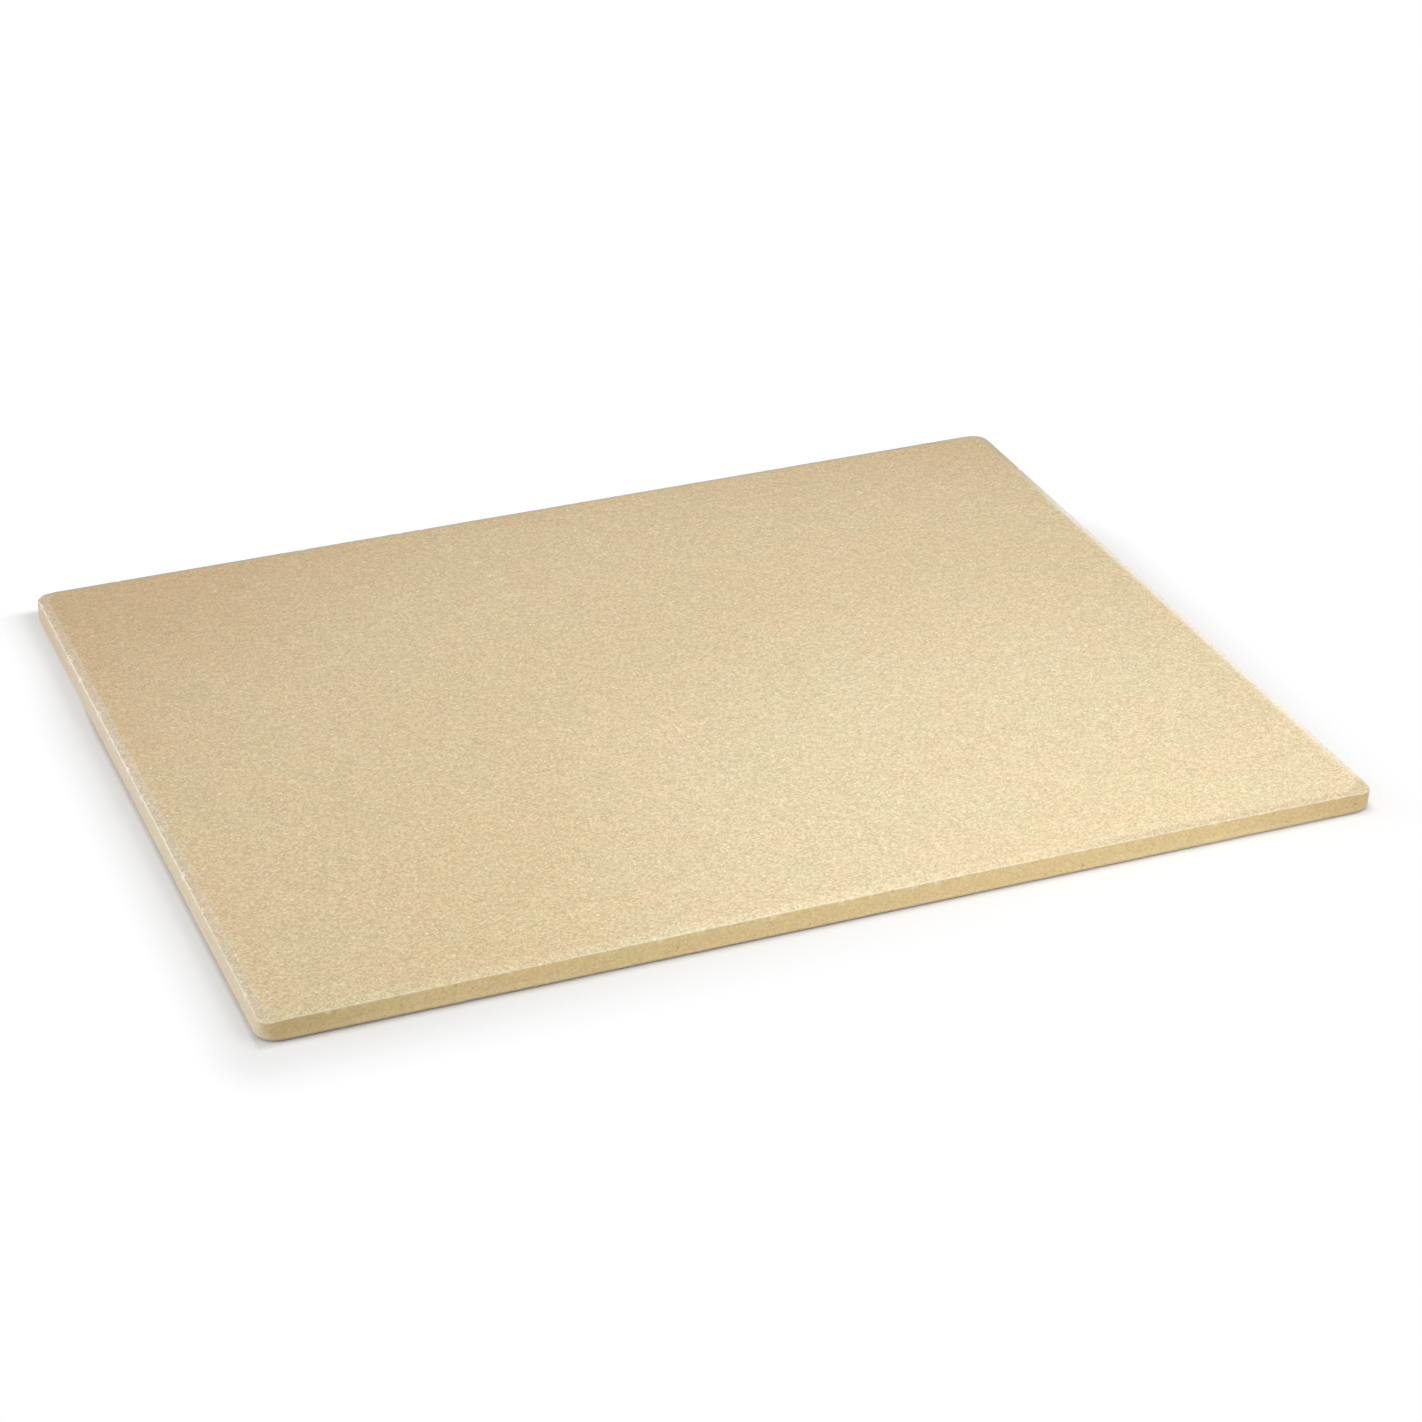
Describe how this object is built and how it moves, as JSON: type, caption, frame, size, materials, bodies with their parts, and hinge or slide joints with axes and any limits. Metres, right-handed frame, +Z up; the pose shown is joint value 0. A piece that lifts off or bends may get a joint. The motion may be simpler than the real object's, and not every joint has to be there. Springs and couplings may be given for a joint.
{
  "type": "baking stone",
  "caption": "Thin rectangular slab of unglazed ceramic with a shallow bevel round its flat top face, rounded corners and a plain flat underside, for baking bread and pizza in an oven.",
  "frame": {"origin": "centre of the underside, on the surface that the slab lies on", "axes": "+X along the long side, +Y along the short side, +Z up out of the baking face"},
  "size_m": [0.43, 0.35, 0.01],
  "materials": {
    "fired_ceramic": "unglazed matt, fine sandy grain"
  },
  "bodies": {
    "root": {"baking_stone": "fired_ceramic"}
  },
  "joints": []
}
